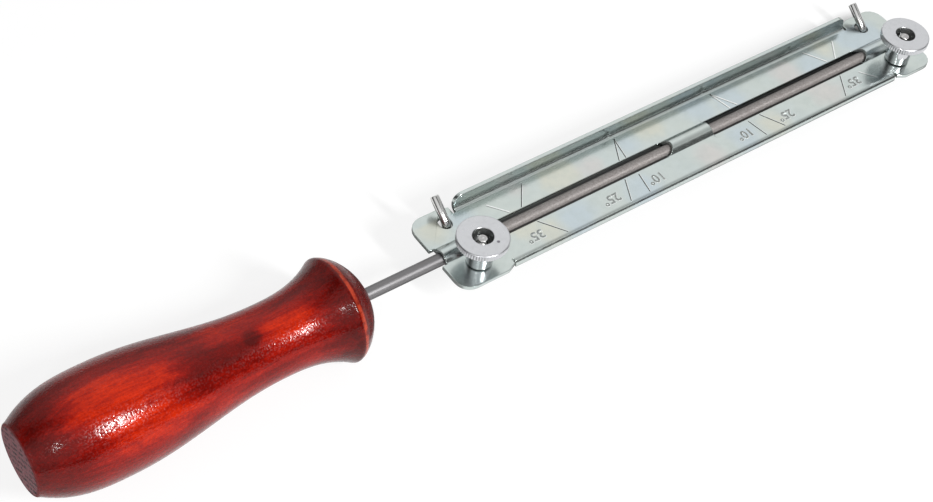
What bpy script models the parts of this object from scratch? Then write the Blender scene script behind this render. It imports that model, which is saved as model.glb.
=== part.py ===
"""Chainsaw file guide: a stamped plate that holds a round file at the right height.

The plate rides on the saw chain. The file lies along it, half sunk in the sheet,
under three arches, and two bent clamps with knurled nuts hold it there. A turned
wooden handle is pushed on the file's tang.

Units are metres. +X runs from the handle's butt to the file's tip, +Z stands on
the plate, and the origin is the centre of the handle's butt.
"""

import math

import bmesh
import bpy
from mathutils import Matrix, Vector

# Clearances
FIT_GAP = 0.0003
CUT_OVERRUN = 0.0020

# Round file
FILE_DIAMETER = 0.0040
FILE_TIP_CHAMFER = 0.0005
FILE_TIP_SETBACK = 0.0027
SHANK_SHOWING = 0.0266
TANG_LENGTH = 0.0400
TANG_TIP_DIAMETER = 0.0022
TANG_END_ROOM = 0.0010

# Handle
HANDLE_LENGTH = 0.1085
BUTT_RADIUS = 0.0110
BELLY_RADIUS = 0.01675
BELLY_FROM_BUTT = 0.0268
WAIST_RADIUS = 0.0114
WAIST_TO_RIDGE = 0.0223
RIDGE_RADIUS = 0.01645
RIDGE_EDGE_RADIUS = 0.0016
RIDGE_TO_NOSE = 0.0093
NOSE_RADIUS = 0.0065
NOSE_EDGE_RADIUS = 0.0006
BUTT_EDGE_RADIUS = 0.0010

# Guide plate
SHEET_THICKNESS = 0.0014
STUD_SPACING = 0.1761
STUD_INSET = 0.0107
TAB_BEYOND_STUD = 0.00765
TAB_BEYOND_LEG_HOLE = 0.00316
TAB_CORNER_RADIUS = 0.0050
TAB_RUNOUT = 0.0030

# Arches and slots in the plate
ARCH_WALL = 0.0011
ARCH_CREASE_RADIUS = 0.0003
SLOT_WIDTH = 0.0062
SLOT_FROM_STUD = 0.0090
FIRST_SLOT_LENGTH = 0.0716
BRIDGE_LENGTH = 0.0162
SLOT_CORNER_RADIUS = 0.0006
MOUTH_DEPTH = 0.0018

# Fence, bent up on the far side
FENCE_HEIGHT = 0.0064
FENCE_SETBACK = 0.0010
FENCE_BEND_RADIUS = 0.0014
FENCE_CORNER_RADIUS = 0.0030
FENCE_FROM_NEAR_STUD = 0.0054
FENCE_FROM_FAR_STUD = 0.0061
FENCE_RELIEF = 0.0010

# Lip, bent down on the near side
LIP_DEPTH = 0.0010
LIP_SETBACK = 0.00145
LIP_BEND_RADIUS = 0.0002
LIP_FROM_NEAR_STUD = 0.0095
LIP_FROM_FAR_STUD = 0.0061
LIP_RELIEF = 0.0006

# Thumb nuts
NUT_DIAMETER = 0.0163
NUT_HEIGHT = 0.01095
NUT_DISC_THICKNESS = 0.0025
NUT_RIM_CHAMFER = 0.0003
HUB_DIAMETER = 0.0082
HUB_CHAMFER = 0.0004
HUB_TUCK = 0.0003
COUNTERBORE_DIAMETER = 0.00684
COUNTERBORE_DEPTH = 0.0030
KNURL_DEPTH = 0.00025
KNURL_TEETH = 60

# Wire clamps
WIRE_DIAMETER = 0.0028
THREAD_DIAMETER = 0.0030
THREAD_LENGTH = 0.0120
STUD_BELOW_NUT_TOP = 0.0010
WIRE_CHAMFER = 0.0003
WIRE_BEND_RADIUS = 0.0022
LEG_OFFSET = 0.0094
LEG_BEND_RADIUS = 0.0022
LEG_REACH = 0.0076
LEG_RISE = 0.0056
LEG_HOLE_SIDE_GAP = 0.0006
CLAMP_DROP = 0.0005

# Shares that shape the curves
BELLY_PACE_SHARE = 1.3
BELLY_EASE_SHARE = 3
FLARE_SHARE = 2.77
DOME_FULLNESS_SHARE = 1.46
KNURL_PHASE_SHARE = 0.25

# Fineness of the round forms
TURNED_STEPS = 48
NUT_STEPS = 48
WIRE_SIDES = 16
BEND_STEPS = 6
CORNER_STEPS = 5
ARCH_STEPS = 12

# Places that follow from the sizes
FILE_RADIUS = FILE_DIAMETER / 2
CHANNEL_RADIUS = FILE_RADIUS + FIT_GAP
ARCH_RADIUS = CHANNEL_RADIUS + ARCH_WALL
PLATE_NEAR_X = HANDLE_LENGTH + SHANK_SHOWING
NEAR_STUD_X = PLATE_NEAR_X + STUD_INSET
FAR_STUD_X = NEAR_STUD_X + STUD_SPACING
PLATE_FAR_X = FAR_STUD_X + STUD_INSET
STUD_Y = -(ARCH_RADIUS + HUB_DIAMETER / 2 - HUB_TUCK)
LEG_LEAN = math.atan2(LEG_REACH, LEG_RISE)
LEG_HOLE_WIDTH = WIRE_DIAMETER + 2 * LEG_HOLE_SIDE_GAP
LEG_HOLE_INNER_Y = LEG_OFFSET - WIRE_DIAMETER / 2 - FIT_GAP
LEG_FLANK_Y = LEG_OFFSET + WIRE_DIAMETER / 2 / math.cos(LEG_LEAN)
LEG_HOLE_OUTER_Y = LEG_FLANK_Y + CLAMP_DROP * math.tan(LEG_LEAN) + FIT_GAP
TAB_NEAR_Y = STUD_Y - TAB_BEYOND_STUD
TAB_FAR_Y = LEG_HOLE_OUTER_Y + TAB_BEYOND_LEG_HOLE
FENCE_Y = TAB_FAR_Y - FENCE_SETBACK
LIP_Y = TAB_NEAR_Y + LIP_SETBACK
NUT_BOTTOM_Z = SHEET_THICKNESS + FIT_GAP
STUD_TIP_Z = NUT_BOTTOM_Z + NUT_HEIGHT - STUD_BELOW_NUT_TOP
CROSSBAR_Z = -(FILE_RADIUS + FIT_GAP + WIRE_DIAMETER / 2)


# Helpers

def make_material(name, colour, roughness, metallic):
    """Return a Principled BSDF material."""
    material = bpy.data.materials.new(name)
    material.use_nodes = True
    shader = material.node_tree.nodes["Principled BSDF"]
    shader.inputs["Base Color"].default_value = (*colour, 1.0)
    shader.inputs["Roughness"].default_value = roughness
    shader.inputs["Metallic"].default_value = metallic
    return material


def make_object(name, bm, material=None, location=(0, 0, 0), sharp_angle=35):
    """Turn a bmesh into a named, smooth-shaded object at a location."""
    bmesh.ops.recalc_face_normals(bm, faces=bm.faces)
    mesh = bpy.data.meshes.new(name)
    bm.to_mesh(mesh)
    bm.free()
    mesh.shade_smooth()
    mesh.set_sharp_from_angle(angle=math.radians(sharp_angle))
    if material:
        mesh.materials.append(material)
    piece = bpy.data.objects.new(name, mesh)
    piece.location = location
    bpy.context.scene.collection.objects.link(piece)
    return piece


def combine(target, tool, operation):
    """Add a Boolean modifier and hide the tool shape."""
    tool.hide_render = True
    tool.display_type = "WIRE"
    tool.hide_set(True)
    modifier = target.modifiers.new(tool.name, "BOOLEAN")
    modifier.operation = operation
    modifier.solver = "EXACT"
    modifier.object = tool


def arc(centre, radius, start, end, steps):
    """Return points on an arc from one angle to another, in radians."""
    turn = (end - start) / steps
    return [
        (
            centre[0] + radius * math.cos(start + turn * step),
            centre[1] + radius * math.sin(start + turn * step),
        )
        for step in range(steps + 1)
    ]


def add_prism(bm, outline, place, along):
    """Add a prism: the outline's points, placed in space, swept along a vector."""
    face = bm.faces.new([bm.verts.new(place(point)) for point in outline])
    swept = bmesh.ops.extrude_face_region(bm, geom=[face])
    moved = [item for item in swept["geom"] if isinstance(item, bmesh.types.BMVert)]
    bmesh.ops.translate(bm, verts=moved, vec=along)
    return moved


def add_plan_prism(bm, outline, bottom, top):
    """Add a prism whose outline lies in plan, between two heights."""
    return add_prism(bm, outline, lambda p: (p[0], p[1], bottom), (0, 0, top - bottom))


def add_section_prism(bm, section, start, end):
    """Add a prism whose section lies across X, between two places along X."""
    return add_prism(bm, section, lambda p: (start, p[0], p[1]), (end - start, 0, 0))


def turn_profile(profile, axis, steps):
    """Spin a profile of (place along the axis, radius) points into a solid."""
    bm = bmesh.new()
    if axis == "X":
        spots = [bm.verts.new((along, 0, radius)) for along, radius in profile]
        direction = (1, 0, 0)
    else:
        spots = [bm.verts.new((radius, 0, along)) for along, radius in profile]
        direction = (0, 0, 1)
    edges = [bm.edges.new(pair) for pair in zip(spots, spots[1:])]
    if profile[0][1] > 0:
        edges.append(bm.edges.new((spots[-1], spots[0])))
    bmesh.ops.spin(
        bm, geom=spots + edges, cent=(0, 0, 0), axis=direction, dvec=(0, 0, 0),
        angle=math.tau, steps=steps, use_merge=True,
    )
    bmesh.ops.remove_doubles(bm, verts=bm.verts, dist=FIT_GAP / 1000)
    return bm


# Handle

def handle_outline():
    """Return the turned outline of the handle, butt to nose, as (x, radius)."""
    ridge_x = HANDLE_LENGTH - RIDGE_TO_NOSE
    waist_x = ridge_x - WAIST_TO_RIDGE
    lean = math.atan(FLARE_SHARE * (RIDGE_RADIUS - WAIST_RADIUS) / WAIST_TO_RIDGE)
    flare_run = WAIST_TO_RIDGE - RIDGE_EDGE_RADIUS * math.sin(lean)
    flare_rise = RIDGE_RADIUS - WAIST_RADIUS - RIDGE_EDGE_RADIUS * (1 - math.cos(lean))
    points = []
    for step in range(3):
        turn = math.pi / 2 * step / 3
        points.append((
            BUTT_EDGE_RADIUS * (1 - math.cos(turn)),
            BUTT_RADIUS - BUTT_EDGE_RADIUS + BUTT_EDGE_RADIUS * math.sin(turn),
        ))
    for step in range(1, 9):
        share = (step / 8) ** BELLY_PACE_SHARE
        swell = 1 - (1 - share) ** BELLY_EASE_SHARE
        points.append((
            BUTT_EDGE_RADIUS + (BELLY_FROM_BUTT - BUTT_EDGE_RADIUS) * share,
            BUTT_RADIUS + (BELLY_RADIUS - BUTT_RADIUS) * swell,
        ))
    for step in range(1, 11):
        share = step / 10
        fall = (1 + math.cos(math.pi * share)) / 2
        points.append((
            BELLY_FROM_BUTT + (waist_x - BELLY_FROM_BUTT) * share,
            WAIST_RADIUS + (BELLY_RADIUS - WAIST_RADIUS) * fall,
        ))
    for step in range(1, 7):
        share = step / 6
        points.append((waist_x + flare_run * share, WAIST_RADIUS + flare_rise * share ** FLARE_SHARE))
    for step in range(1, 4):
        turn = lean * (1 - step / 3)
        points.append((
            ridge_x - RIDGE_EDGE_RADIUS * math.sin(turn),
            RIDGE_RADIUS - RIDGE_EDGE_RADIUS * (1 - math.cos(turn)),
        ))
    for step in range(1, 9):
        share = math.sin(math.pi / 2 * step / 8)
        dome = (1 - share ** DOME_FULLNESS_SHARE) ** (1 / DOME_FULLNESS_SHARE)
        points.append((
            ridge_x + (RIDGE_TO_NOSE - NOSE_EDGE_RADIUS) * share,
            NOSE_RADIUS + (RIDGE_RADIUS - NOSE_RADIUS) * dome,
        ))
    points.append((HANDLE_LENGTH, NOSE_RADIUS - NOSE_EDGE_RADIUS))
    return points


def make_handle(material):
    """Turn the handle, with a tapered blind bore for the file's tang."""
    bore_end_x = HANDLE_LENGTH - TANG_LENGTH - TANG_END_ROOM
    profile = [(0, 0)]
    profile += handle_outline()
    profile += [
        (HANDLE_LENGTH, FILE_RADIUS + FIT_GAP),
        (bore_end_x, TANG_TIP_DIAMETER / 2 + FIT_GAP),
        (bore_end_x, 0),
    ]
    return make_object("file_handle", turn_profile(profile, "X", TURNED_STEPS), material)


# Round file

def make_file(material):
    """Turn the round file with its tapered tang; its origin is at the handle's nose."""
    tip_x = PLATE_FAR_X - FILE_TIP_SETBACK - HANDLE_LENGTH
    profile = [
        (-TANG_LENGTH, 0),
        (-TANG_LENGTH, TANG_TIP_DIAMETER / 2),
        (0, FILE_RADIUS),
        (tip_x - FILE_TIP_CHAMFER, FILE_RADIUS),
        (tip_x, FILE_RADIUS - FILE_TIP_CHAMFER),
        (tip_x, 0),
    ]
    bm = turn_profile(profile, "X", TURNED_STEPS // 2)
    return make_object("round_file", bm, material, (HANDLE_LENGTH, 0, 0))


# Guide plate

def corner(x, y, radius, start_quarter, quarters=1):
    """Return a rounded corner's arc about a centre, from a quarter turn on."""
    start = start_quarter * math.pi / 2
    return arc((x, y), radius, start, start + quarters * math.pi / 2, CORNER_STEPS)


def sheet_outline():
    """Return the flat sheet's outline in plan, anticlockwise from the near mouth."""
    inset = TAB_CORNER_RADIUS
    near_x, far_x = PLATE_NEAR_X, PLATE_FAR_X
    lip_start = NEAR_STUD_X + LIP_FROM_NEAR_STUD - LIP_RELIEF
    lip_end = FAR_STUD_X - LIP_FROM_FAR_STUD + LIP_RELIEF
    fence_start = NEAR_STUD_X + FENCE_FROM_NEAR_STUD - FENCE_RELIEF
    fence_end = FAR_STUD_X - FENCE_FROM_FAR_STUD + FENCE_RELIEF
    lip_bend_y = LIP_Y + LIP_BEND_RADIUS + SHEET_THICKNESS
    fence_bend_y = FENCE_Y - FENCE_BEND_RADIUS - SHEET_THICKNESS
    mouth = ARCH_RADIUS
    outline = [(near_x + MOUTH_DEPTH, -mouth), (near_x, -mouth)]
    outline += corner(near_x + inset, TAB_NEAR_Y + inset, inset, 2)
    outline += [
        (lip_start - TAB_RUNOUT, TAB_NEAR_Y),
        (lip_start, LIP_Y),
        (lip_start, lip_bend_y),
        (lip_end, lip_bend_y),
        (lip_end, LIP_Y),
        (lip_end + TAB_RUNOUT, TAB_NEAR_Y),
    ]
    outline += corner(far_x - inset, TAB_NEAR_Y + inset, inset, 3)
    outline += [
        (far_x, -mouth),
        (far_x - MOUTH_DEPTH, -mouth),
        (far_x - MOUTH_DEPTH, mouth),
        (far_x, mouth),
    ]
    outline += corner(far_x - inset, TAB_FAR_Y - inset, inset, 0)
    outline += [
        (fence_end + TAB_RUNOUT, TAB_FAR_Y),
        (fence_end, FENCE_Y),
        (fence_end, fence_bend_y),
        (fence_start, fence_bend_y),
        (fence_start, FENCE_Y),
        (fence_start - TAB_RUNOUT, TAB_FAR_Y),
    ]
    outline += corner(near_x + inset, TAB_FAR_Y - inset, inset, 1)
    outline += [(near_x, mouth), (near_x + MOUTH_DEPTH, mouth)]
    return outline


def arch_section():
    """Return the outer section of an arch, with a creased foot on each side."""
    crease_z = SHEET_THICKNESS + ARCH_CREASE_RADIUS
    reach = ARCH_RADIUS + ARCH_CREASE_RADIUS
    crease_y = math.sqrt(reach ** 2 - crease_z ** 2)
    foot = math.atan2(crease_z, crease_y)
    right = arc((crease_y, crease_z), ARCH_CREASE_RADIUS, -math.pi / 2, foot - math.pi, 3)
    left = [(-y, z) for y, z in reversed(right)]
    crown = arc((0, 0), ARCH_RADIUS, foot, math.pi - foot, ARCH_STEPS)
    return [(crease_y, 0)] + right[:-1] + crown + left[1:] + [(-crease_y, 0)]


def flange_section(face_y, bend_radius, tip_z):
    """Return the section of a flange bent up (tip above) or down from the sheet."""
    side = 1 if face_y > 0 else -1
    up = tip_z > 0
    outer = bend_radius + SHEET_THICKNESS
    axis_y = face_y - side * outer
    axis_z = outer if up else SHEET_THICKNESS - outer
    start = -math.pi / 2 if up else math.pi / 2
    outside = arc((0, 0), outer, start, 0, CORNER_STEPS)
    inside = arc((0, 0), bend_radius, 0, start, CORNER_STEPS)
    root_y = axis_y - side * SHEET_THICKNESS
    inner_root_z = SHEET_THICKNESS if up else 0
    outer_root_z = 0 if up else SHEET_THICKNESS
    section = [(root_y, outer_root_z)]
    section += [(axis_y + side * y, axis_z + z) for y, z in outside]
    section += [(face_y, tip_z), (face_y - side * SHEET_THICKNESS, tip_z)]
    section += [(axis_y + side * y, axis_z + z) for y, z in inside]
    section += [(root_y, inner_root_z)]
    return section


def round_fence_corners(bm, start, end):
    """Round the two top corners of the fence, across its thickness."""
    corners = [
        edge for edge in bm.edges
        if all(abs(vert.co.z - FENCE_HEIGHT) < FIT_GAP for vert in edge.verts)
        and abs(edge.verts[0].co.x - edge.verts[1].co.x) < FIT_GAP
        and min(abs(edge.verts[0].co.x - start), abs(edge.verts[0].co.x - end)) < FIT_GAP
    ]
    bmesh.ops.bevel(
        bm, geom=corners, offset=FENCE_CORNER_RADIUS, offset_type="OFFSET",
        segments=CORNER_STEPS, profile=0.5, affect="EDGES", material=-1,
    )


def slot_outline(start, end, half_width, start_radius, end_radius):
    """Return a slot's outline in plan, with a corner radius at each end."""
    outline = []
    for x, radius, side in ((end, end_radius, 1), (start, start_radius, -1)):
        inner = x - side * radius
        first = 3 if side > 0 else 1
        low = corner(inner, -side * (half_width - radius), radius, first)
        high = corner(inner, side * (half_width - radius), radius, (first + 1) % 4)
        outline += low + [p for p in high if math.dist(p, low[-1]) > FIT_GAP / 10]
    return outline


def make_plate(material):
    """Stamp the guide plate: sheet, arches, fence, lip, slots and holes."""
    sheet = bmesh.new()
    add_plan_prism(sheet, sheet_outline(), 0, SHEET_THICKNESS)
    plate = make_object("guide_plate", sheet, material, sharp_angle=30)

    first_slot_x = NEAR_STUD_X + SLOT_FROM_STUD
    bridge_x = first_slot_x + FIRST_SLOT_LENGTH
    second_slot_x = bridge_x + BRIDGE_LENGTH
    second_slot_end_x = FAR_STUD_X - SLOT_FROM_STUD
    half_slot = SLOT_WIDTH / 2

    arches = bmesh.new()
    spans = (
        (PLATE_NEAR_X + MOUTH_DEPTH, first_slot_x + half_slot),
        (bridge_x - half_slot, second_slot_x),
        (second_slot_end_x - half_slot, PLATE_FAR_X - MOUTH_DEPTH),
    )
    for start, end in spans:
        add_section_prism(arches, arch_section(), start, end)
    combine(plate, make_object("arch_form", arches), "UNION")

    fence = bmesh.new()
    fence_start = NEAR_STUD_X + FENCE_FROM_NEAR_STUD
    fence_end = FAR_STUD_X - FENCE_FROM_FAR_STUD
    section = flange_section(FENCE_Y, FENCE_BEND_RADIUS, FENCE_HEIGHT)
    add_section_prism(fence, section, fence_start, fence_end)
    round_fence_corners(fence, fence_start, fence_end)
    combine(plate, make_object("fence_form", fence), "UNION")

    lip = bmesh.new()
    lip_start = NEAR_STUD_X + LIP_FROM_NEAR_STUD
    lip_end = FAR_STUD_X - LIP_FROM_FAR_STUD
    section = flange_section(LIP_Y, LIP_BEND_RADIUS, -LIP_DEPTH)
    add_section_prism(lip, section, lip_start, lip_end)
    combine(plate, make_object("lip_form", lip), "UNION")

    channel = turn_profile(
        [
            (PLATE_NEAR_X - CUT_OVERRUN, 0),
            (PLATE_NEAR_X - CUT_OVERRUN, CHANNEL_RADIUS),
            (PLATE_FAR_X + CUT_OVERRUN, CHANNEL_RADIUS),
            (PLATE_FAR_X + CUT_OVERRUN, 0),
        ],
        "X", 2 * ARCH_STEPS,
    )
    combine(plate, make_object("channel_cutter", channel), "DIFFERENCE")

    cuts = bmesh.new()
    low, high = -CUT_OVERRUN, ARCH_RADIUS + CUT_OVERRUN
    first = slot_outline(first_slot_x, bridge_x, half_slot, half_slot, half_slot)
    second = slot_outline(
        second_slot_x, second_slot_end_x, half_slot, SLOT_CORNER_RADIUS, half_slot
    )
    add_plan_prism(cuts, first, low, high)
    add_plan_prism(cuts, second, low, high)
    stud_hole_radius = THREAD_DIAMETER / 2 + FIT_GAP
    half_leg_hole = LEG_HOLE_WIDTH / 2
    for x in (NEAR_STUD_X, FAR_STUD_X):
        stud_hole = arc((x, STUD_Y), stud_hole_radius, 0, math.tau, 4 * CORNER_STEPS)[:-1]
        add_plan_prism(cuts, stud_hole, low, high)
        top = arc((x, LEG_HOLE_OUTER_Y - half_leg_hole), half_leg_hole, 0, math.pi, 8)
        foot = arc((x, LEG_HOLE_INNER_Y + half_leg_hole), half_leg_hole, math.pi, math.tau, 8)
        add_plan_prism(cuts, top + foot, low, high)
    combine(plate, make_object("slot_and_hole_cutter", cuts), "DIFFERENCE")
    return plate


# Thumb nuts

def nut_profile():
    """Return the turned section of a thumb nut, as (height, radius), from its foot."""
    bore = THREAD_DIAMETER / 2 + FIT_GAP
    hub = HUB_DIAMETER / 2
    rim = NUT_DIAMETER / 2
    disc_z = NUT_HEIGHT - NUT_DISC_THICKNESS
    floor_z = NUT_HEIGHT - COUNTERBORE_DEPTH
    return [
        (0, bore),
        (0, hub - HUB_CHAMFER),
        (HUB_CHAMFER, hub),
        (disc_z, hub),
        (disc_z, rim - NUT_RIM_CHAMFER),
        (disc_z + NUT_RIM_CHAMFER, rim),
        (NUT_HEIGHT - NUT_RIM_CHAMFER, rim),
        (NUT_HEIGHT, rim - NUT_RIM_CHAMFER),
        (NUT_HEIGHT, COUNTERBORE_DIAMETER / 2),
        (floor_z, COUNTERBORE_DIAMETER / 2),
        (floor_z, bore),
    ]


def knurl_outline():
    """Return the toothed outline of the nut's rim, two points a tooth."""
    rim = NUT_DIAMETER / 2
    outline = []
    for point in range(2 * KNURL_TEETH):
        turn = math.tau * (point + KNURL_PHASE_SHARE) / (2 * KNURL_TEETH)
        radius = rim if point % 2 else rim - KNURL_DEPTH
        outline.append((radius * math.cos(turn), radius * math.sin(turn)))
    return outline


def make_nut(name, stud_x, material, knurl):
    """Turn a thumb nut and cut its knurl; its origin is its foot on the stud's axis."""
    bm = turn_profile(nut_profile(), "Z", NUT_STEPS)
    nut = make_object(name, bm, material, (stud_x, STUD_Y, NUT_BOTTOM_Z), 40)
    tool = make_object(name + "_knurl", knurl.copy(), None, nut.location)
    combine(nut, tool, "INTERSECT")
    return nut


# Wire clamps

class Wire:
    """A round wire that grows from its first cut end by straight runs and bends."""

    def __init__(self, radius, start, heading):
        """Cut the wire's first end.

        Args:
            radius: the wire's radius there.
            start: the centre of the cut end.
            heading: the direction in which the wire runs on.
        """
        self.bm = bmesh.new()
        self.centre = Vector(start)
        self.heading = Vector(heading).normalized()
        self.radius = radius
        turn = Vector((0, 0, 1)).rotation_difference(self.heading).to_matrix().to_4x4()
        place = Matrix.Translation(self.centre) @ turn
        bmesh.ops.create_circle(
            self.bm, cap_ends=True, radius=radius, segments=WIRE_SIDES, matrix=place
        )
        self.end = self.bm.faces[:][0]

    def end_geometry(self):
        """Return the end face with its edges and corners, to be drawn on."""
        return [self.end, *self.end.edges, *self.end.verts]

    def run(self, length, radius=None):
        """Draw the wire straight on, to a new radius if one is given."""
        swept = bmesh.ops.extrude_face_region(self.bm, geom=self.end_geometry())["geom"]
        self.end = next(item for item in swept if isinstance(item, bmesh.types.BMFace))
        verts = self.end.verts[:]
        bmesh.ops.translate(self.bm, verts=verts, vec=self.heading * length)
        self.centre = self.centre + self.heading * length
        if radius is not None:
            factor = radius / self.radius
            bmesh.ops.scale(
                self.bm, verts=verts, vec=(factor, factor, factor),
                space=Matrix.Translation(-self.centre),
            )
            self.radius = radius

    def bend(self, angle, bend_radius, toward):
        """Bend the wire by an angle towards a direction, about its centre line."""
        side = Vector(toward).normalized()
        axis = self.heading.cross(side)
        pivot = self.centre + side * bend_radius
        spun = bmesh.ops.spin(
            self.bm, geom=self.end_geometry(), cent=pivot, axis=axis, dvec=(0, 0, 0),
            angle=angle, steps=BEND_STEPS, use_merge=False,
        )["geom_last"]
        self.end = next(item for item in spun if isinstance(item, bmesh.types.BMFace))
        turn = Matrix.Rotation(angle, 3, axis)
        self.centre = pivot + turn @ (self.centre - pivot)
        self.heading = turn @ self.heading


def make_clamp(name, stud_x, material):
    """Bend a clamp: threaded stud, crossbar under the file, and hooked leg.

    Its origin is where the stud's axis meets the plate's underside.
    """
    thread_radius = THREAD_DIAMETER / 2
    wire_radius = WIRE_DIAMETER / 2
    hook_tangent = LEG_BEND_RADIUS * math.tan(LEG_LEAN / 2)
    thread_end_z = STUD_TIP_Z - THREAD_LENGTH
    crossbar = LEG_OFFSET - STUD_Y - 2 * WIRE_BEND_RADIUS
    leg_start_z = CROSSBAR_Z + WIRE_BEND_RADIUS
    hook = LEG_REACH / math.sin(LEG_LEAN) - hook_tangent

    wire = Wire(thread_radius - WIRE_CHAMFER, (0, 0, STUD_TIP_Z), (0, 0, -1))
    wire.run(WIRE_CHAMFER, thread_radius)
    wire.run(THREAD_LENGTH - 2 * WIRE_CHAMFER)
    wire.run(WIRE_CHAMFER, wire_radius)
    wire.run(thread_end_z - leg_start_z)
    wire.bend(math.pi / 2, WIRE_BEND_RADIUS, (0, 1, 0))
    wire.run(crossbar)
    wire.bend(math.pi / 2, WIRE_BEND_RADIUS, (0, 0, 1))
    wire.run(SHEET_THICKNESS - hook_tangent - leg_start_z)
    wire.bend(LEG_LEAN, LEG_BEND_RADIUS, (0, 1, 0))
    wire.run(hook - WIRE_CHAMFER)
    wire.run(WIRE_CHAMFER, wire_radius - WIRE_CHAMFER)
    return make_object(name, wire.bm, material, (stud_x, STUD_Y, 0), 40)


def build():
    """Build every piece of the file guide."""
    for item in list(bpy.data.objects):
        bpy.data.objects.remove(item, do_unlink=True)

    zinc = make_material("zinc_plated_sheet", (0.55, 0.60, 0.57), 0.32, 1.0)
    satin = make_material("satin_plated_nut", (0.66, 0.66, 0.70), 0.38, 1.0)
    bright = make_material("bright_plated_wire", (0.72, 0.72, 0.70), 0.16, 1.0)
    steel = make_material("file_steel", (0.34, 0.30, 0.28), 0.42, 1.0)
    lacquer = make_material("red_lacquered_wood", (0.30, 0.025, 0.02), 0.14, 0.0)

    make_plate(zinc)
    knurl = bmesh.new()
    add_plan_prism(knurl, knurl_outline(), -CUT_OVERRUN, NUT_HEIGHT + CUT_OVERRUN)
    make_nut("near_thumb_nut", NEAR_STUD_X, satin, knurl)
    make_nut("far_thumb_nut", FAR_STUD_X, satin, knurl)
    knurl.free()
    make_clamp("near_clamp", NEAR_STUD_X, bright)
    make_clamp("far_clamp", FAR_STUD_X, bright)
    make_file(steel)
    make_handle(lacquer)


build()
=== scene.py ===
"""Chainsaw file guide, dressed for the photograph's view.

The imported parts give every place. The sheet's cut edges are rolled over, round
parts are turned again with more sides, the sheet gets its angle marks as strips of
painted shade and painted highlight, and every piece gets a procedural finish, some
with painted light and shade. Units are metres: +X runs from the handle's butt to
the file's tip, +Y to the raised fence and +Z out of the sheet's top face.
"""

from __future__ import annotations

import functools
import logging
import math
from dataclasses import dataclass
from enum import Enum
from typing import Any, Iterable, NamedTuple, Sequence

import bmesh
import bpy
from mathutils import Matrix, Vector

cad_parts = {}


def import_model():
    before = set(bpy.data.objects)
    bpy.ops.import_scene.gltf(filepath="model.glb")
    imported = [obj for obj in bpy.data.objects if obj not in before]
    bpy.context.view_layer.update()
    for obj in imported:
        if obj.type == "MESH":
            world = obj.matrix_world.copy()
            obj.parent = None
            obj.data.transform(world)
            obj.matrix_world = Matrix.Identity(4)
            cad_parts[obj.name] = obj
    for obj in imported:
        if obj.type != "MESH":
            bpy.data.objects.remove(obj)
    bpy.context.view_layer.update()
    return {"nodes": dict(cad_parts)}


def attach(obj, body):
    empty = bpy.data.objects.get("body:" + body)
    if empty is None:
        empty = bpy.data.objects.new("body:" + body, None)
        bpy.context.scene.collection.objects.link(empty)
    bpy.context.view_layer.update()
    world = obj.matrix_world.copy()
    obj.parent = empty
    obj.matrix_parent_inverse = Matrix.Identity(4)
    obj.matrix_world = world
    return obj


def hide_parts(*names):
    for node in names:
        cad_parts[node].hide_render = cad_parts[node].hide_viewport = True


LOG = logging.getLogger("file_guide")
IMAGE_WIDTH = 933
MM_PER_M = 1000
QUARTER_TURN = math.pi / 2
# Corners nearer than this are merged.
SAME_PLACE = 1e-7
# The sockets of a Mix node that mixes colours.
MIX_SHARE, MIX_FIRST, MIX_SECOND, MIX_RESULT = 0, 6, 7, 2

Point = tuple[float, float, float]
Colour = tuple[float, float, float]
Pair = tuple[float, float]
Profile = list[Pair]
Stops = Sequence[tuple[float, Colour]]
Lines = tuple[tuple[float, float, float, float], ...]
Area = tuple[float, float, float, float, float]
Socket = bpy.types.NodeSocket
Material = bpy.types.Material
Object = bpy.types.Object
BMesh = bmesh.types.BMesh

ORIGIN: Point = (0.0, 0.0, 0.0)
# The middle of each nut's foot, on its stud's axis, and the nick from the near one's middle.
NEAR_STUD: Point = (0.1458, -0.0072, 0.0017)
FAR_STUD: Point = (0.3219, -0.0072, 0.0017)
NEAR_NICK = (0.0026, -0.00405)


class Part(Enum):
    """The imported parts, by node name."""

    PLATE = "guide_plate"
    NEAR_NUT = "near_thumb_nut"
    FAR_NUT = "far_thumb_nut"
    NEAR_CLAMP = "near_clamp"
    FAR_CLAMP = "far_clamp"
    FILE = "round_file"
    HANDLE = "file_handle"


class Grain(NamedTuple):
    """A random pattern: patches in a metre, finer layers, stretch, middle and stir."""

    scale: float
    detail: float = 2.0
    stretch: Point = (1.0, 1.0, 1.0)
    middle: Point = ORIGIN
    stir: float = 0.0


class Axis(Enum):
    """The axis that a turned part runs along."""

    X = (1.0, 0.0, 0.0)
    Z = (0.0, 0.0, 1.0)


# Shader maths

def grey(level: float) -> Colour:
    """Return a neutral colour."""
    return (level, level, level)


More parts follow.
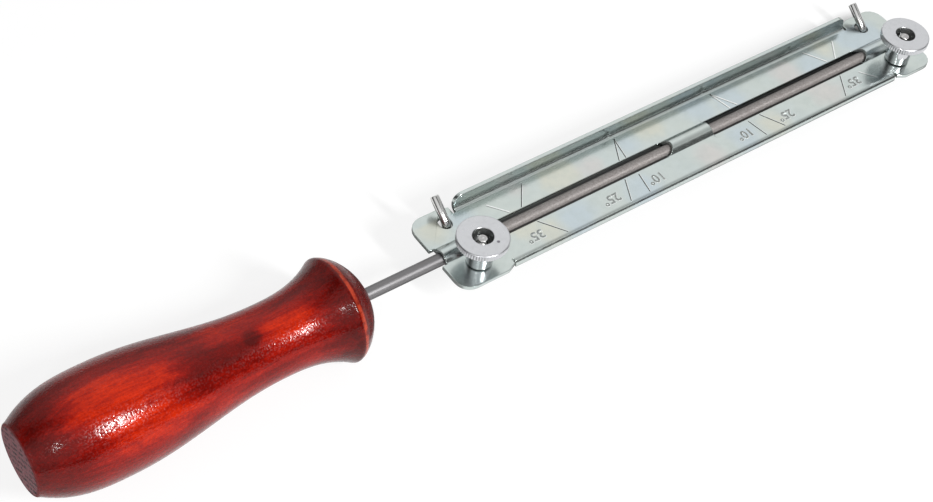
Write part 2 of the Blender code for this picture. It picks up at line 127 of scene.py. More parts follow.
class Value:
    """A number on a surface: a shader socket that Python's operators work on."""

    def __init__(self, look: Look, socket: Socket) -> None:
        """Wrap a socket of a look's node tree."""
        self.look = look
        self.socket = socket

    def math(self, operation: str, *others: Any) -> Value:
        """Add a Math node.

        Args:
            operation: the node's operation.
            others: the other numbers or values that it works on.

        Returns:
            The node's result.
        """
        inputs = dict(enumerate((self, *others)))
        node = self.look.node("ShaderNodeMath", {"operation": operation}, inputs)
        return Value(self.look, node.outputs[0])

    def __add__(self, other: Any) -> Value:
        """Return the sum."""
        return self.math("ADD", other)

    __radd__ = __add__

    def __sub__(self, other: Any) -> Value:
        """Return the difference."""
        return self.math("SUBTRACT", other)

    def __rsub__(self, other: float) -> Value:
        """Return a number less this value."""
        node = self.look.node("ShaderNodeMath", {"operation": "SUBTRACT"}, {0: other, 1: self})
        return Value(self.look, node.outputs[0])

    def __mul__(self, other: Any) -> Value:
        """Return the product."""
        return self.math("MULTIPLY", other)

    __rmul__ = __mul__

    def size(self) -> Value:
        """Return the value without its sign."""
        return self.math("ABSOLUTE")

    def power(self, exponent: float) -> Value:
        """Return the value to a power."""
        return self.math("POWER", exponent)

    def waves(self) -> Value:
        """Return even waves from 0 to 1 over the value in radians."""
        return self.math("SINE") * 0.5 + 0.5

    def ramp(self, low: float, high: float) -> Value:
        """Return a smooth 0 to 1 as the value goes from low to high.

        Args:
            low: the value up to which the result is 0.
            high: the value from which it is 1.

        Returns:
            The result.
        """
        node = self.look.node(
            "ShaderNodeMapRange", {"interpolation_type": "SMOOTHSTEP"},
            {"Value": self, "From Min": low, "From Max": high},
        )
        return Value(self.look, node.outputs["Result"])

    def blend(self, low: Any, high: Any) -> Value:
        """Return low where this value is 0 and high where it is 1."""
        return self * (high - low) + low


class Look:
    """One material's node tree, with short ways to add nodes."""

    wandering = Grain(180.0, 3.0)

    def __init__(self, name: str) -> None:
        """Start a material with a Principled shader.

        Args:
            name: the material's name.
        """
        self.material = bpy.data.materials.new(name)
        self.material.use_nodes = True
        self.tree = self.material.node_tree
        self.shader = self.tree.nodes["Principled BSDF"]

    @classmethod
    def on_tree(cls, tree: bpy.types.NodeTree, shader: bpy.types.Node) -> Look:
        """Return a look that works on another node tree, such as the world's.

        Args:
            tree: the node tree.
            shader: the tree's shader, which surface() feeds.

        Returns:
            The look, which has no material.
        """
        look = cls.__new__(cls)
        look.tree, look.shader, look.material = tree, shader, None
        return look

    def node(
        self, kind: str, settings: dict[str, Any] | None = None,
        sockets: dict[str | int, Any] | None = None,
    ) -> bpy.types.Node:
        """Add a node.

        Args:
            kind: the node's type.
            settings: its properties, which are set first.
            sockets: the values or links of its inputs, by name or number.

        Returns:
            The new node.
        """
        node = self.tree.nodes.new(kind)
        for name, value in (settings or {}).items():
            if name == "stops":
                self.set_stops(node, value)
            else:
                setattr(node, name, value)
        for name, value in (sockets or {}).items():
            self.feed(node.inputs[name], value)
        return node

    @staticmethod
    def set_stops(node: bpy.types.Node, stops: Stops) -> None:
        """Give a colour ramp its stops.

        Args:
            node: the colour ramp's node.
            stops: the places from 0 to 1 and their colours.
        """
        elements = node.color_ramp.elements
        elements.remove(elements[-1])
        for place, (position, colour) in enumerate(stops):
            stop = elements.new(position) if place else elements[0]
            stop.position, stop.color = position, (*colour, 1.0)

    def feed(self, socket: Socket, item: Any) -> None:
        """Give an input a link, a number, a vector or a colour.

        Args:
            socket: the input.
            item: what it is given.
        """
        if isinstance(item, Value):
            self.tree.links.new(item.socket, socket)
        elif isinstance(item, Socket):
            self.tree.links.new(item, socket)
        elif socket.type == "RGBA":
            socket.default_value = (*item, 1.0)
        else:
            socket.default_value = item

    def place(self) -> Socket:
        """Return the place on the piece, in the frame's metres."""
        return self.node("ShaderNodeTexCoord").outputs["Object"]

    def moved(self, offset: Point, scale: Point = (1.0, 1.0, 1.0)) -> Socket:
        """Return the place centred on a point, with each axis stretched.

        Args:
            offset: the point that becomes the origin.
            scale: how much finer the pattern is along each axis.

        Returns:
            The vector socket.
        """
        location = tuple(-place * factor for place, factor in zip(offset, scale))
        node = self.node(
            "ShaderNodeMapping", {"vector_type": "POINT"},
            {"Vector": self.place(), "Location": location, "Scale": scale},
        )
        return node.outputs["Vector"]

    def axes(self, vector: Socket | None = None) -> tuple[Value, Value, Value]:
        """Return the three numbers of a vector, or of the place."""
        node = self.node("ShaderNodeSeparateXYZ", sockets={"Vector": vector or self.place()})
        return tuple(Value(self, node.outputs[i]) for i in range(3))

    def noise(self, grain: Grain) -> Value:
        """Return a soft random pattern from 0 to 1.

        Args:
            grain: the pattern's scale, detail and stretch.

        Returns:
            The pattern.
        """
        node = self.node("ShaderNodeTexNoise", sockets={
            "Vector": self.moved(grain.middle, grain.stretch), "Scale": grain.scale,
            "Detail": grain.detail, "Distortion": grain.stir,
        })
        return Value(self, node.outputs[0])

    def blob(
        self, centre: Point, radius: float, edge: float,
        stretch: Point = (1.0, 1.0, 1.0), wander: float = 0.0,
    ) -> Value:
        """Return a soft patch, 1 round a point and 0 away from it.

        Args:
            centre: the patch's middle.
            radius: the distance at which it is half gone.
            edge: the width of its soft edge.
            stretch: how much shorter the patch is along each axis.
            wander: how far its edge strays from round.

        Returns:
            The patch.
        """
        away = self.node(
            "ShaderNodeVectorMath", {"operation": "LENGTH"}, {0: self.moved(centre, stretch)}
        )
        distance = Value(self, away.outputs["Value"])
        if wander:
            distance = distance + (self.noise(self.wandering) - 0.5) * (2 * wander)
        return 1.0 - distance.ramp(radius - edge / 2, radius + edge / 2)

    def patches(self, places: Sequence[Point], height: float, edge: float) -> Value:
        """Return one soft pattern for several round patches on a level face.

        Args:
            places: each patch's x, y and radius in millimetres.
            height: the height of the face in metres.
            edge: the width of the soft edge in metres.

        Returns:
            The pattern.
        """
        return self.greatest(
            self.blob(
                (x / MM_PER_M, y / MM_PER_M, height), radius / MM_PER_M, edge,
                wander=radius / MM_PER_M / 2,
            )
            for x, y, radius in places
        )

    @staticmethod
    def greatest(values: Iterable[Value]) -> Value:
        """Return the greatest of several values at each place."""
        return functools.reduce(lambda first, other: first.math("MAXIMUM", other), values)

    def cells(self, grain: Grain) -> Value:
        """Return the distance to scattered points, for pores.

        Args:
            grain: the scale and the stretch of the points.

        Returns:
            The distance.
        """
        node = self.node("ShaderNodeTexVoronoi", sockets={
            "Vector": self.moved(grain.middle, grain.stretch), "Scale": grain.scale,
        })
        return Value(self, node.outputs["Distance"])

    def mix(self, share: Any, first: Any, second: Any) -> Socket:
        """Return a mix of two colours.

        Args:
            share: how much of the second shows, from 0 to 1.
            first: the colour at 0.
            second: the colour at 1.

        Returns:
            The colour socket.
        """
        node = self.node(
            "ShaderNodeMix", {"data_type": "RGBA"},
            {MIX_SHARE: share, MIX_FIRST: first, MIX_SECOND: second},
        )
        return node.outputs[MIX_RESULT]

    def colours(self, share: Value, stops: Stops) -> Socket:
        """Return the colour that a ramp has at a share.

        Args:
            share: the place on the ramp, from 0 to 1.
            stops: the ramp's places and their colours.

        Returns:
            The colour socket.
        """
        node = self.node("ShaderNodeValToRGB", {"stops": stops}, {"Fac": share})
        return node.outputs["Color"]

    def relief(
        self, height: Value, depth: float, strength: float = 1.0, under: Socket | None = None,
    ) -> Socket:
        """Return a normal that follows a height from 0 to 1.

        Args:
            height: the height's pattern.
            depth: the height's size in metres.
            strength: the bump's strength.
            under: a normal that this one is laid over.

        Returns:
            The normal socket.
        """
        sockets = {"Height": height, "Distance": depth, "Strength": strength}
        if under is not None:
            sockets["Normal"] = under
        return self.node("ShaderNodeBump", sockets=sockets).outputs["Normal"]

    def surface(self, **sockets: Any) -> Material:
        """Feed the shader's own sockets.

        Args:
            sockets: what each is given, by its name with _ for a space.

        Returns:
            The material.
        """
        for name, value in sockets.items():
            self.feed(self.shader.inputs[name.replace("_", " ")], value)
        return self.material


# Finishes

@dataclass(frozen=True)
class ZincSheet:
    """Zinc-plated sheet steel, pale green-grey with a faint yellow, pink and blue bloom."""

    name: str = "zinc_plated_sheet"
    base: Colour = (0.61, 0.665, 0.635)
    dull: Colour = (0.47, 0.53, 0.51)
    yellow: Colour = (0.70, 0.68, 0.56)
    pink: Colour = (0.68, 0.63, 0.61)
    blue: Colour = (0.54, 0.63, 0.70)
    # Painted shade for the slots' cut walls.
    painted_shade: Colour = (0.035, 0.034, 0.033)
    cast: Grain = Grain(60.0, 3.0)
    cast_share: float = 0.22
    bloom_share: float = 0.58
    bloom_edge: float = 0.006
    dulling: Grain = Grain(340.0, 3.0)
    dull_share: float = 0.22
    painted_shade_share: float = 0.40
    mottle: Grain = Grain(420.0, 3.0)
    rolled: Grain = Grain(520.0, 2.0, (0.06, 1.0, 1.0))
    grain_depth: float = 0.000012
    grain_strength: float = 0.35
    roughness: float = 0.20
    top: float = 0.0014
    slot_half: float = 0.0031
    yellow_places: tuple[Point, ...] = (
        (140.5, 10.0, 5.0), (166.0, -3.5, 5.0), (188.0, 9.0, 7.0), (172.0, -9.0, 4.5),
        (226.0, 10.0, 5.0), (264.0, -9.0, 5.0), (303.0, 9.5, 4.0),
    )
    pink_places: tuple[Point, ...] = (
        (172.5, 11.0, 3.0), (199.0, 6.0, 4.0), (283.0, 6.7, 5.0), (288.7, -6.5, 6.0),
        (236.0, -9.5, 5.0),
    )
    blue_places: tuple[Point, ...] = (
        (151.0, 9.0, 4.0), (182.0, -8.5, 6.0), (207.0, -10.0, 6.0), (246.0, 9.5, 6.0),
        (258.0, 6.5, 6.0), (294.0, 5.0, 5.0), (318.0, 8.0, 9.0), (251.0, -9.0, 5.0),
        (215.0, 7.5, 4.0),
    )
    dents: tuple[Pair, ...] = ((211.2, 3.0), (250.9, 3.0), (290.3, 3.3))
    fence_foot: float = 0.0121
    fence_face: float = 0.0135
    dent_radius: float = 0.0010
    dent_edge: float = 0.0014
    dent_depth: float = 0.00016

    def tint(self, look: Look) -> Socket:
        """Colour the plating, with its blooms and mottle, and painted shade on the slot walls.

        Args:
            look: the material's look.

        Returns:
            The colour socket.
        """
        _, y, z = look.axes()
        flat = 1.0 - y.ramp(self.fence_foot - 0.0005, self.fence_face)
        cast = look.noise(self.cast).ramp(0.3, 0.7)
        colour = look.mix(cast * self.cast_share, self.base, self.blue)
        for places, bloom in (
            (self.yellow_places, self.yellow), (self.pink_places, self.pink),
            (self.blue_places, self.blue),
        ):
            patch = look.patches(places, self.top, self.bloom_edge)
            colour = look.mix(patch * flat * self.bloom_share, colour, bloom)
        dulling = look.noise(self.dulling).ramp(0.35, 0.75)
        colour = look.mix(dulling * self.dull_share, colour, self.dull)
        # Painted shade on the slots' cut walls, below the edge of the top face.
        shaded_wall = 1.0 - y.size().ramp(self.slot_half + 0.00002, self.slot_half + 0.0002)
        shaded_wall = shaded_wall * (1.0 - z.ramp(self.top - 0.0004, self.top - 0.0001))
        return look.mix(shaded_wall * self.painted_shade_share, colour, self.painted_shade)

    def dented(self, look: Look) -> Value:
        """Return the shallow round dents in the fence's inner face.

        Args:
            look: the material's look.

        Returns:
            1 in the middle of a dent, 0 beside it.
        """
        return look.greatest(
            look.blob(
                (x / MM_PER_M, self.fence_face, z / MM_PER_M), self.dent_radius, self.dent_edge,
            )
            for x, z in self.dents
        )

    def material(self) -> Material:
        """Plate the sheet: mottled and bloomed, with a rolled grain and dents.

        Returns:
            The material.
        """
        look = Look(self.name)
        mottle = look.noise(self.mottle)
        grain = look.noise(self.rolled) * 0.6 + mottle * 0.4
        fine = look.relief(grain, self.grain_depth, self.grain_strength)
        rough = mottle.blend(self.roughness - 0.05, self.roughness + 0.08)
        return look.surface(
            Base_Color=self.tint(look), Metallic=1.0, Roughness=rough,
            Normal=look.relief(1.0 - self.dented(look), self.dent_depth, 1.0, fine),
        )


@dataclass(frozen=True)
class SatinNut:
    """Satin-plated thumb nut with faint turning rings on its disc."""

    name: str
    centre: Point
    nick: Point | None
    base: Colour = (0.655, 0.665, 0.685)
    dull: Colour = (0.54, 0.545, 0.56)
    # Painted shade for the counterbore and the bore.
    shade: Colour = (0.22, 0.225, 0.22)
    shade_share: float = 0.86
    nick_colour: Colour = (0.20, 0.18, 0.22)
    nick_radius: float = 0.00042
    bore: float = 0.0033
    pitch: float = 0.0007
    thread_depth: float = 0.00012
    disc_from: float = 0.0084
    edge: float = 0.0001
    ring_phase: float = 21000.0
    spots: Grain = Grain(900.0, 3.0)
    fine_depth: float = 0.000012
    roughness: float = 0.30
    hub_roughness: float = 0.13

    def material(self) -> Material:
        """Plate the nut: turning rings, painted shade in the bore with a thread, and the nick.

        Returns:
            The material.
        """
        look = Look(self.name)
        x, y, z = look.axes(look.moved(self.centre))
        disc = z.ramp(self.disc_from - self.edge, self.disc_from + self.edge)
        radius = (x * x + y * y).power(0.5)
        rings = (radius * self.ring_phase).waves()
        spots = look.noise(self.spots)
        colour = look.mix(spots.ramp(0.5, 0.8) * 0.3, self.base, self.dull)
        # Painted shade inside the counterbore and the bore.
        inside = 1.0 - radius.ramp(self.bore - self.edge, self.bore + self.edge)
        colour = look.mix(inside * self.shade_share, colour, self.shade)
        height = (z * (math.tau / self.pitch)).math("SINE") * inside * 0.5
        if self.nick:
            nick = look.blob(self.nick, self.nick_radius, 2 * self.edge)
            colour = look.mix(nick * 0.9, colour, self.nick_colour)
            height = height - nick
        rough = disc.blend(self.hub_roughness, self.roughness) + (spots - 0.5) * 0.15
        fine = look.relief(rings * 0.5 + spots * 0.5, self.fine_depth, 0.3)
        return look.surface(
            Base_Color=colour, Metallic=1.0, Roughness=rough,
            Normal=look.relief(height, self.thread_depth, 0.8, fine),
        )


@dataclass(frozen=True)
class BrightWire:
    """Bright-plated steel wire with fine draw lines along it and a dull cut end."""

    name: str = "bright_plated_wire"
    base: Colour = (0.80, 0.80, 0.79)
    worn: Colour = (0.58, 0.57, 0.54)
    wear: Grain = Grain(240.0)
    cut_end: Colour = (0.50, 0.495, 0.49)
    torn: Grain = Grain(1500.0)
    cut_z: float = 0.01158
    cut_edge: float = 0.00004
    cut_roughness: float = 0.25
    drawn: Grain = Grain(1800.0, 2.0, (1.0, 1.0, 0.12))
    drawn_depth: float = 0.00001
    roughness: float = 0.13

    def material(self) -> Material:
        """Plate the wire: draw lines, light wear and a dull cut end.

        Returns:
            The material.
        """
        look = Look(self.name)
        wear = look.noise(self.wear)
        colour = look.mix(wear.ramp(0.45, 0.8) * 0.4, self.base, self.worn)
        _, _, z = look.axes()
        cut = z.ramp(self.cut_z - self.cut_edge, self.cut_z)
        torn = look.noise(self.torn).ramp(0.25, 0.6)
        colour = look.mix(cut * torn, colour, self.cut_end)
        rough = wear.blend(self.roughness - 0.04, self.roughness + 0.10)
        rough = rough + cut * self.cut_roughness
        return look.surface(
            Base_Color=colour, Metallic=1.0, Roughness=rough,
            Normal=look.relief(look.noise(self.drawn), self.drawn_depth, 0.35),
        )


@dataclass(frozen=True)
class FileSteel:
    """Warm grey tool steel: a smooth shank, then fine spiral-cut teeth."""

    name: str = "file_tool_steel"
    teeth_from: float = 0.1400
    base: Colour = (0.36, 0.34, 0.33)
    shank: Colour = (0.245, 0.24, 0.245)
    pit: Colour = (0.20, 0.175, 0.165)
    pits: Grain = Grain(1900.0)
    groove: Colour = (0.20, 0.17, 0.16)
    grime: Colour = (0.26, 0.23, 0.22)
    grime_patches: Grain = Grain(420.0, 3.0, (0.3, 1.0, 1.0))
    # Painted shade for the file's underside, where the slots hide it.
    painted_shade: Colour = (0.022, 0.020, 0.019)
    painted_shade_share: float = 0.92
    painted_shade_from: float = 1.17
    painted_shade_to: float = 1.34
    painted_shade_x: float = 0.1530
    cut_run_out: float = 0.004
    teeth_a_metre: float = 2300.0
    spiral: float = 9.0
    tooth_depth: float = 0.00008
    roughness: float = 0.46

    def material(self) -> Material:
        """Finish the file: bare shank, spiral teeth, grime, and painted shade on its underside from
        the slots on.

        Returns:
            The material.
        """
        look = Look(self.name)
        x, y, z = look.axes()
        turn = y.math("ARCTAN2", z)
        ridges = (x * (self.teeth_a_metre * math.tau) + turn * self.spiral).waves()
        cut = x.ramp(self.teeth_from, self.teeth_from + self.cut_run_out)
        grime, pits = look.noise(self.grime_patches), look.noise(self.pits)
        colour = look.mix(cut, self.shank, self.base)
        colour = look.mix(pits.ramp(0.40, 0.62) * cut * 0.55, colour, self.pit)
        colour = look.mix(ridges * cut * 0.35, colour, self.groove)
        colour = look.mix(grime.ramp(0.45, 0.8) * 0.35, colour, self.grime)
        # Painted shade on the file's lower flank and underside, from where it enters the slots.
        shaded_flank = turn.size().ramp(self.painted_shade_from, self.painted_shade_to)
        held = x.ramp(self.painted_shade_x, self.painted_shade_x + 0.002)
        colour = look.mix(shaded_flank * held * self.painted_shade_share, colour, self.painted_shade)
        rough = grime.blend(self.roughness - 0.06, self.roughness + 0.12)
        return look.surface(
            Base_Color=colour, Metallic=cut.blend(0.9, 0.35), Roughness=rough,
            Normal=look.relief(ridges * cut + grime * 0.15, self.tooth_depth, 0.6),
        )


@dataclass(frozen=True)
class RedLacquer:
    """Turned hardwood under deep red gloss lacquer."""

    name: str = "red_lacquered_wood"
    dark: Colour = (0.080, 0.0016, 0.0008)
    deep: Colour = (0.16, 0.0026, 0.0010)
    middle: Colour = (0.30, 0.0065, 0.0018)
    bright: Colour = (0.72, 0.032, 0.0030)
    # The ridge's colour: a painted highlight, partly worn lacquer.
    worn: Colour = (0.52, 0.055, 0.020)
    butt: Colour = (0.23, 0.080, 0.092)
    butt_pore: Colour = (0.020, 0.004, 0.005)
    butt_radius: float = 0.0110
    ridge_from: float = 0.0997
    ridge_to: float = 0.1007
    flare_from: float = 0.0840
    flare_to: float = 0.0985
    knot: Point = (0.0690, -0.0036, 0.0111)
    grain: Grain = Grain(480.0, 4.0, (0.08, 1.0, 1.0), (0.0, 0.004, 0.002), 0.3)
    fibres: Grain = Grain(2300.0, 3.0, (0.10, 1.0, 1.0))
    clouds: Grain = Grain(70.0, 2.0, (0.6, 1.0, 1.0), (0.02, 0.0, 0.0), 0.5)
    specks: Grain = Grain(1300.0)
    pores: Grain = Grain(2400.0, stretch=(0.10, 1.0, 1.0))
    pore_rows: float = 0.0019
    row_wander: Grain = Grain(120.0)
    pits: Grain = Grain(720.0)
    wear: Grain = Grain(500.0)
    waves: Grain = Grain(300.0, 1.0)
    wave_depth: float = 0.00006
    peel: Grain = Grain(760.0, 1.0)
    crackle: Grain = Grain(1700.0, 0.0)
    fine_depth: float = 0.00005
    crackle_roughness: float = 0.20
    roughness: float = 0.11
    butt_roughness: float = 0.45

    def painted_light(self, look: Look) -> Value:
        """Return the painted light: soft patches where the wood is coloured brighter, as if lit.

        Args:
            look: the material's look.

        Returns:
            How much painted light it shows.
        """
        belly = look.blob((0.026, -0.0050, 0.0158), 0.0072, 0.0080, (0.42, 1.0, 1.0), 0.0015)
        flank = look.blob((0.034, -0.0130, 0.0090), 0.0046, 0.0060, (0.40, 1.0, 1.0), 0.0015)
        waist = look.blob((0.081, -0.0042, 0.0112), 0.0044, 0.0050, (0.50, 1.0, 1.0), 0.0012)
        upper = look.blob((0.062, 0.0010, 0.0125), 0.0034, 0.0050, (0.30, 1.0, 1.0), 0.0012)
        return look.greatest((belly + flank * 0.8, waist + upper * 0.5))

    def dark_patches(self, look: Look, x: Value) -> Value:
        """Return the darker patches: towards the butt, over the flare, and a knot with its cloud.

        Args:
            look: the material's look.
            x: the place along the handle.

        Returns:
            How dark it lies.
        """
        cloud = look.blob((0.055, -0.0060, 0.0110), 0.0060, 0.0060, (0.45, 1.0, 1.0), 0.002)
        knot = look.blob(self.knot, 0.0023, 0.0020, (0.75, 1.0, 1.0), 0.0012)
        butt, flare = 1.0 - x.ramp(0.004, 0.018), x.ramp(self.flare_from, self.flare_to)
        return look.greatest((cloud * 0.65, knot * 1.2, butt * 0.70 + flare * 0.95))

    def stain(self, look: Look, x: Value) -> Socket:
        """Colour the stained wood, streaked along the grain, with painted light on its lit patches.

        Args:
            look: the material's look.
            x: the place along the handle.

        Returns:
            The colour socket.
        """
        # Painted light brightens the wood's lit patches.
        tone = self.painted_light(look) * 0.28 - self.dark_patches(look, x) * 0.28 + 0.43
        for grain, share in (
            (self.grain, 0.55), (self.fibres, 0.34), (self.specks, 0.30), (self.clouds, 0.50),
        ):
            tone = tone + (look.noise(grain) - 0.5) * share
        return look.colours(tone, (
            (0.10, self.dark), (0.34, self.deep), (0.54, self.middle), (0.92, self.bright),
        ))

    def end_pits(self, look: Look) -> Value:
        """Return the rows of open pores across the cut butt.

        Args:
            look: the material's look.

        Returns:
            1 in a pore, 0 beside it.
        """
        _, y, z = look.axes()
        across = y * 0.50 + z * 0.86 + look.noise(self.row_wander) * 0.0014
        rows = (across * (math.tau / self.pore_rows)).waves()
        dots = 1.0 - look.cells(self.pits).ramp(0.30, 0.70)
        return rows.ramp(0.20, 0.70) * dots

    def end_grain(self, look: Look) -> Socket:
        """Colour the butt, dark in its pores and round its rim.

        Args:
            look: the material's look.

        Returns:
            The colour socket.
        """
        _, y, z = look.axes()
        colour = look.mix(self.end_pits(look), self.butt, self.butt_pore)
        radius = (y * y + z * z).power(0.5)
        rim = radius.ramp(self.butt_radius - 0.0014, self.butt_radius - 0.0006)
        return look.mix(rim * 0.8, colour, self.deep)

    def material(self) -> Material:
        """Stain and lacquer the wood, with a painted highlight on its ridge that is partly worn
        lacquer, and bare at its butt.

        Returns:
            The material.
        """
        look = Look(self.name)
        x, _, _ = look.axes()
        colour = self.stain(look, x)
        pores = 1.0 - look.cells(self.pores).ramp(0.02, 0.24)
        colour = look.mix(pores * 0.5, colour, self.dark)
        # Painted highlight along the ridge's edge, partly worn lacquer, broken by wear.
        ridge = x.ramp(self.ridge_from - 0.0004, self.ridge_from)
        ridge = ridge * (1.0 - x.ramp(self.ridge_to - 0.0002, self.ridge_to + 0.0003))
        wear = look.noise(self.wear).ramp(0.2, 0.6)
        colour = look.mix(ridge * wear * 0.8, colour, self.worn)
        face = 1.0 - x.ramp(0.0001, 0.0006)
        colour = look.mix(face, colour, self.end_grain(look))
        waves, crackle = look.noise(self.waves), look.noise(self.crackle)
        coarse = look.relief(waves, self.wave_depth, 0.8)
        peel = look.relief(look.noise(self.peel), self.fine_depth, 1.0, coarse)
        pitted = crackle - self.end_pits(look) * face
        fine = look.relief(pitted, self.fine_depth, 1.0, peel)
        rough = (waves - 0.5) * 0.06 + crackle.ramp(0.40, 0.70) * self.crackle_roughness
        rough = rough + self.roughness + face * self.butt_roughness
        return look.surface(
            Base_Color=colour, Roughness=rough, Normal=fine, Specular_IOR_Level=0.25, IOR=1.5,
        )


@dataclass(frozen=True)
class EngravingPaintedLight:
    """Painted light for the engravings: one flat colour of painted shade or painted highlight,
    varied by wear.
    """

    name: str = "painted_groove_shade"
    base: Colour = (0.10, 0.108, 0.106)
    worn: Colour = (0.24, 0.26, 0.25)
    roughness: float = 0.45
    wear: Grain = Grain(1500.0)
    worn_depth: float = 0.00002

    def material(self) -> Material:
        """Paint the engraving's shade or highlight colour, lighter where worn.

        Returns:
            The material.
        """
        look = Look(self.name)
        wear = look.noise(self.wear)
        colour = look.mix(wear.ramp(0.4, 0.75), self.base, self.worn)
        return look.surface(
            Base_Color=colour, Metallic=1.0, Roughness=self.roughness,
            Normal=look.relief(wear, self.worn_depth, 0.5),
        )


# Mesh helpers

def new_object(name: str, data: bpy.types.ID) -> Object:
    """Put a new object into the scene.

    Args:
        name: its name.
        data: its mesh, text, lamp or camera.

    Returns:
        The object.
    """
    made = bpy.data.objects.new(name, data)
    bpy.context.scene.collection.objects.link(made)
    return made


def finish_piece(name: str, bm: BMesh, material: Material, sharp_angle: float = 40.0) -> Object:
    """Turn a bmesh into a smooth-shaded object at the origin.

    Args:
        name: the piece's name.
        bm: its shape, in the frame's metres; it is freed.
        material: its finish.
        sharp_angle: the angle in degrees above which an edge stays sharp.

    Returns:
        The object.
    """
    bmesh.ops.remove_doubles(bm, verts=bm.verts, dist=SAME_PLACE)
    bmesh.ops.recalc_face_normals(bm, faces=bm.faces)
    mesh = bpy.data.meshes.new(name)
    bm.to_mesh(mesh)
    bm.free()
    mesh.shade_smooth()
    mesh.set_sharp_from_angle(angle=math.radians(sharp_angle))
    mesh.materials.append(material)
    return new_object(name, mesh)


def keep_flat(piece: Object) -> None:
    """Weight a piece's normals by area, so that its flat faces stay flat beside round edges."""
    piece.modifiers.new("flat_faces_stay_flat", "WEIGHTED_NORMAL").keep_sharp = True


def shares(steps: int) -> list[float]:
    """Return the even steps from the first one after 0 to 1."""
    return [step / steps for step in range(1, steps + 1)]


def quarter_arc(steps: int) -> Profile:
    """Return how far a quarter circle lies inside its two tangents, from first to last."""
    leans = [QUARTER_TURN * share for share in (0.0, *shares(steps))]
    return [(1 - math.cos(lean), 1 - math.sin(lean)) for lean in leans]


def turn(profile: Profile, axis: Axis, centre: Point, steps: int) -> BMesh:
    """Spin a profile into a solid or a ring.

    Args:
        profile: points of place along the axis and radius.
        axis: the axis to turn about.
        centre: the point of the axis at place 0.
        steps: the number of sides.

    Returns:
        The shape.
    """
    bm = bmesh.new()
    if axis is Axis.X:
        spots = [bm.verts.new((along, 0.0, radius)) for along, radius in profile]
    else:
        spots = [bm.verts.new((radius, 0.0, along)) for along, radius in profile]
    edges = [bm.edges.new(pair) for pair in zip(spots, spots[1:])]
    if profile[0][1] > 0:
        edges.append(bm.edges.new((spots[-1], spots[0])))
    bmesh.ops.spin(
        bm, geom=spots + edges, cent=(0, 0, 0), axis=axis.value, dvec=(0, 0, 0),
        angle=math.tau, steps=steps, use_merge=True,
    )
    bmesh.ops.remove_doubles(bm, verts=bm.verts, dist=SAME_PLACE)
    bmesh.ops.translate(bm, verts=bm.verts, vec=centre)
    return bm


# Sub-assemblies

@dataclass
class PressedPlate:
    """The stamped plate, with the cut and creased edges of its sheet rolled over."""

    roll: float = 0.00020
    segments: int = 3
    sharp_angle: float = 50.0
    weld: float = 1e-6
    finish: ZincSheet = ZincSheet()

    def build(self, packed: Object) -> Object:
        """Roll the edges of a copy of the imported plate.

        Args:
            packed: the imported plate, which is left as it is.

        Returns:
            The piece that stands for it.
        """
        bm = bmesh.new()
        bm.from_mesh(packed.data)
        bmesh.ops.remove_doubles(bm, verts=bm.verts, dist=self.weld)
        edges = [
            edge for edge in bm.edges
            if edge.is_manifold and edge.calc_face_angle() > math.radians(self.sharp_angle)
        ]
        bmesh.ops.bevel(
            bm, geom=edges, offset=self.roll, offset_type="OFFSET", segments=self.segments,
            profile=0.5, affect="EDGES", clamp_overlap=False, material=-1,
        )
        piece = finish_piece("pressed_plate", bm, self.finish.material(), self.sharp_angle)
        keep_flat(piece)
        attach(piece, "plate")
        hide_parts(Part.PLATE.value)
        return piece


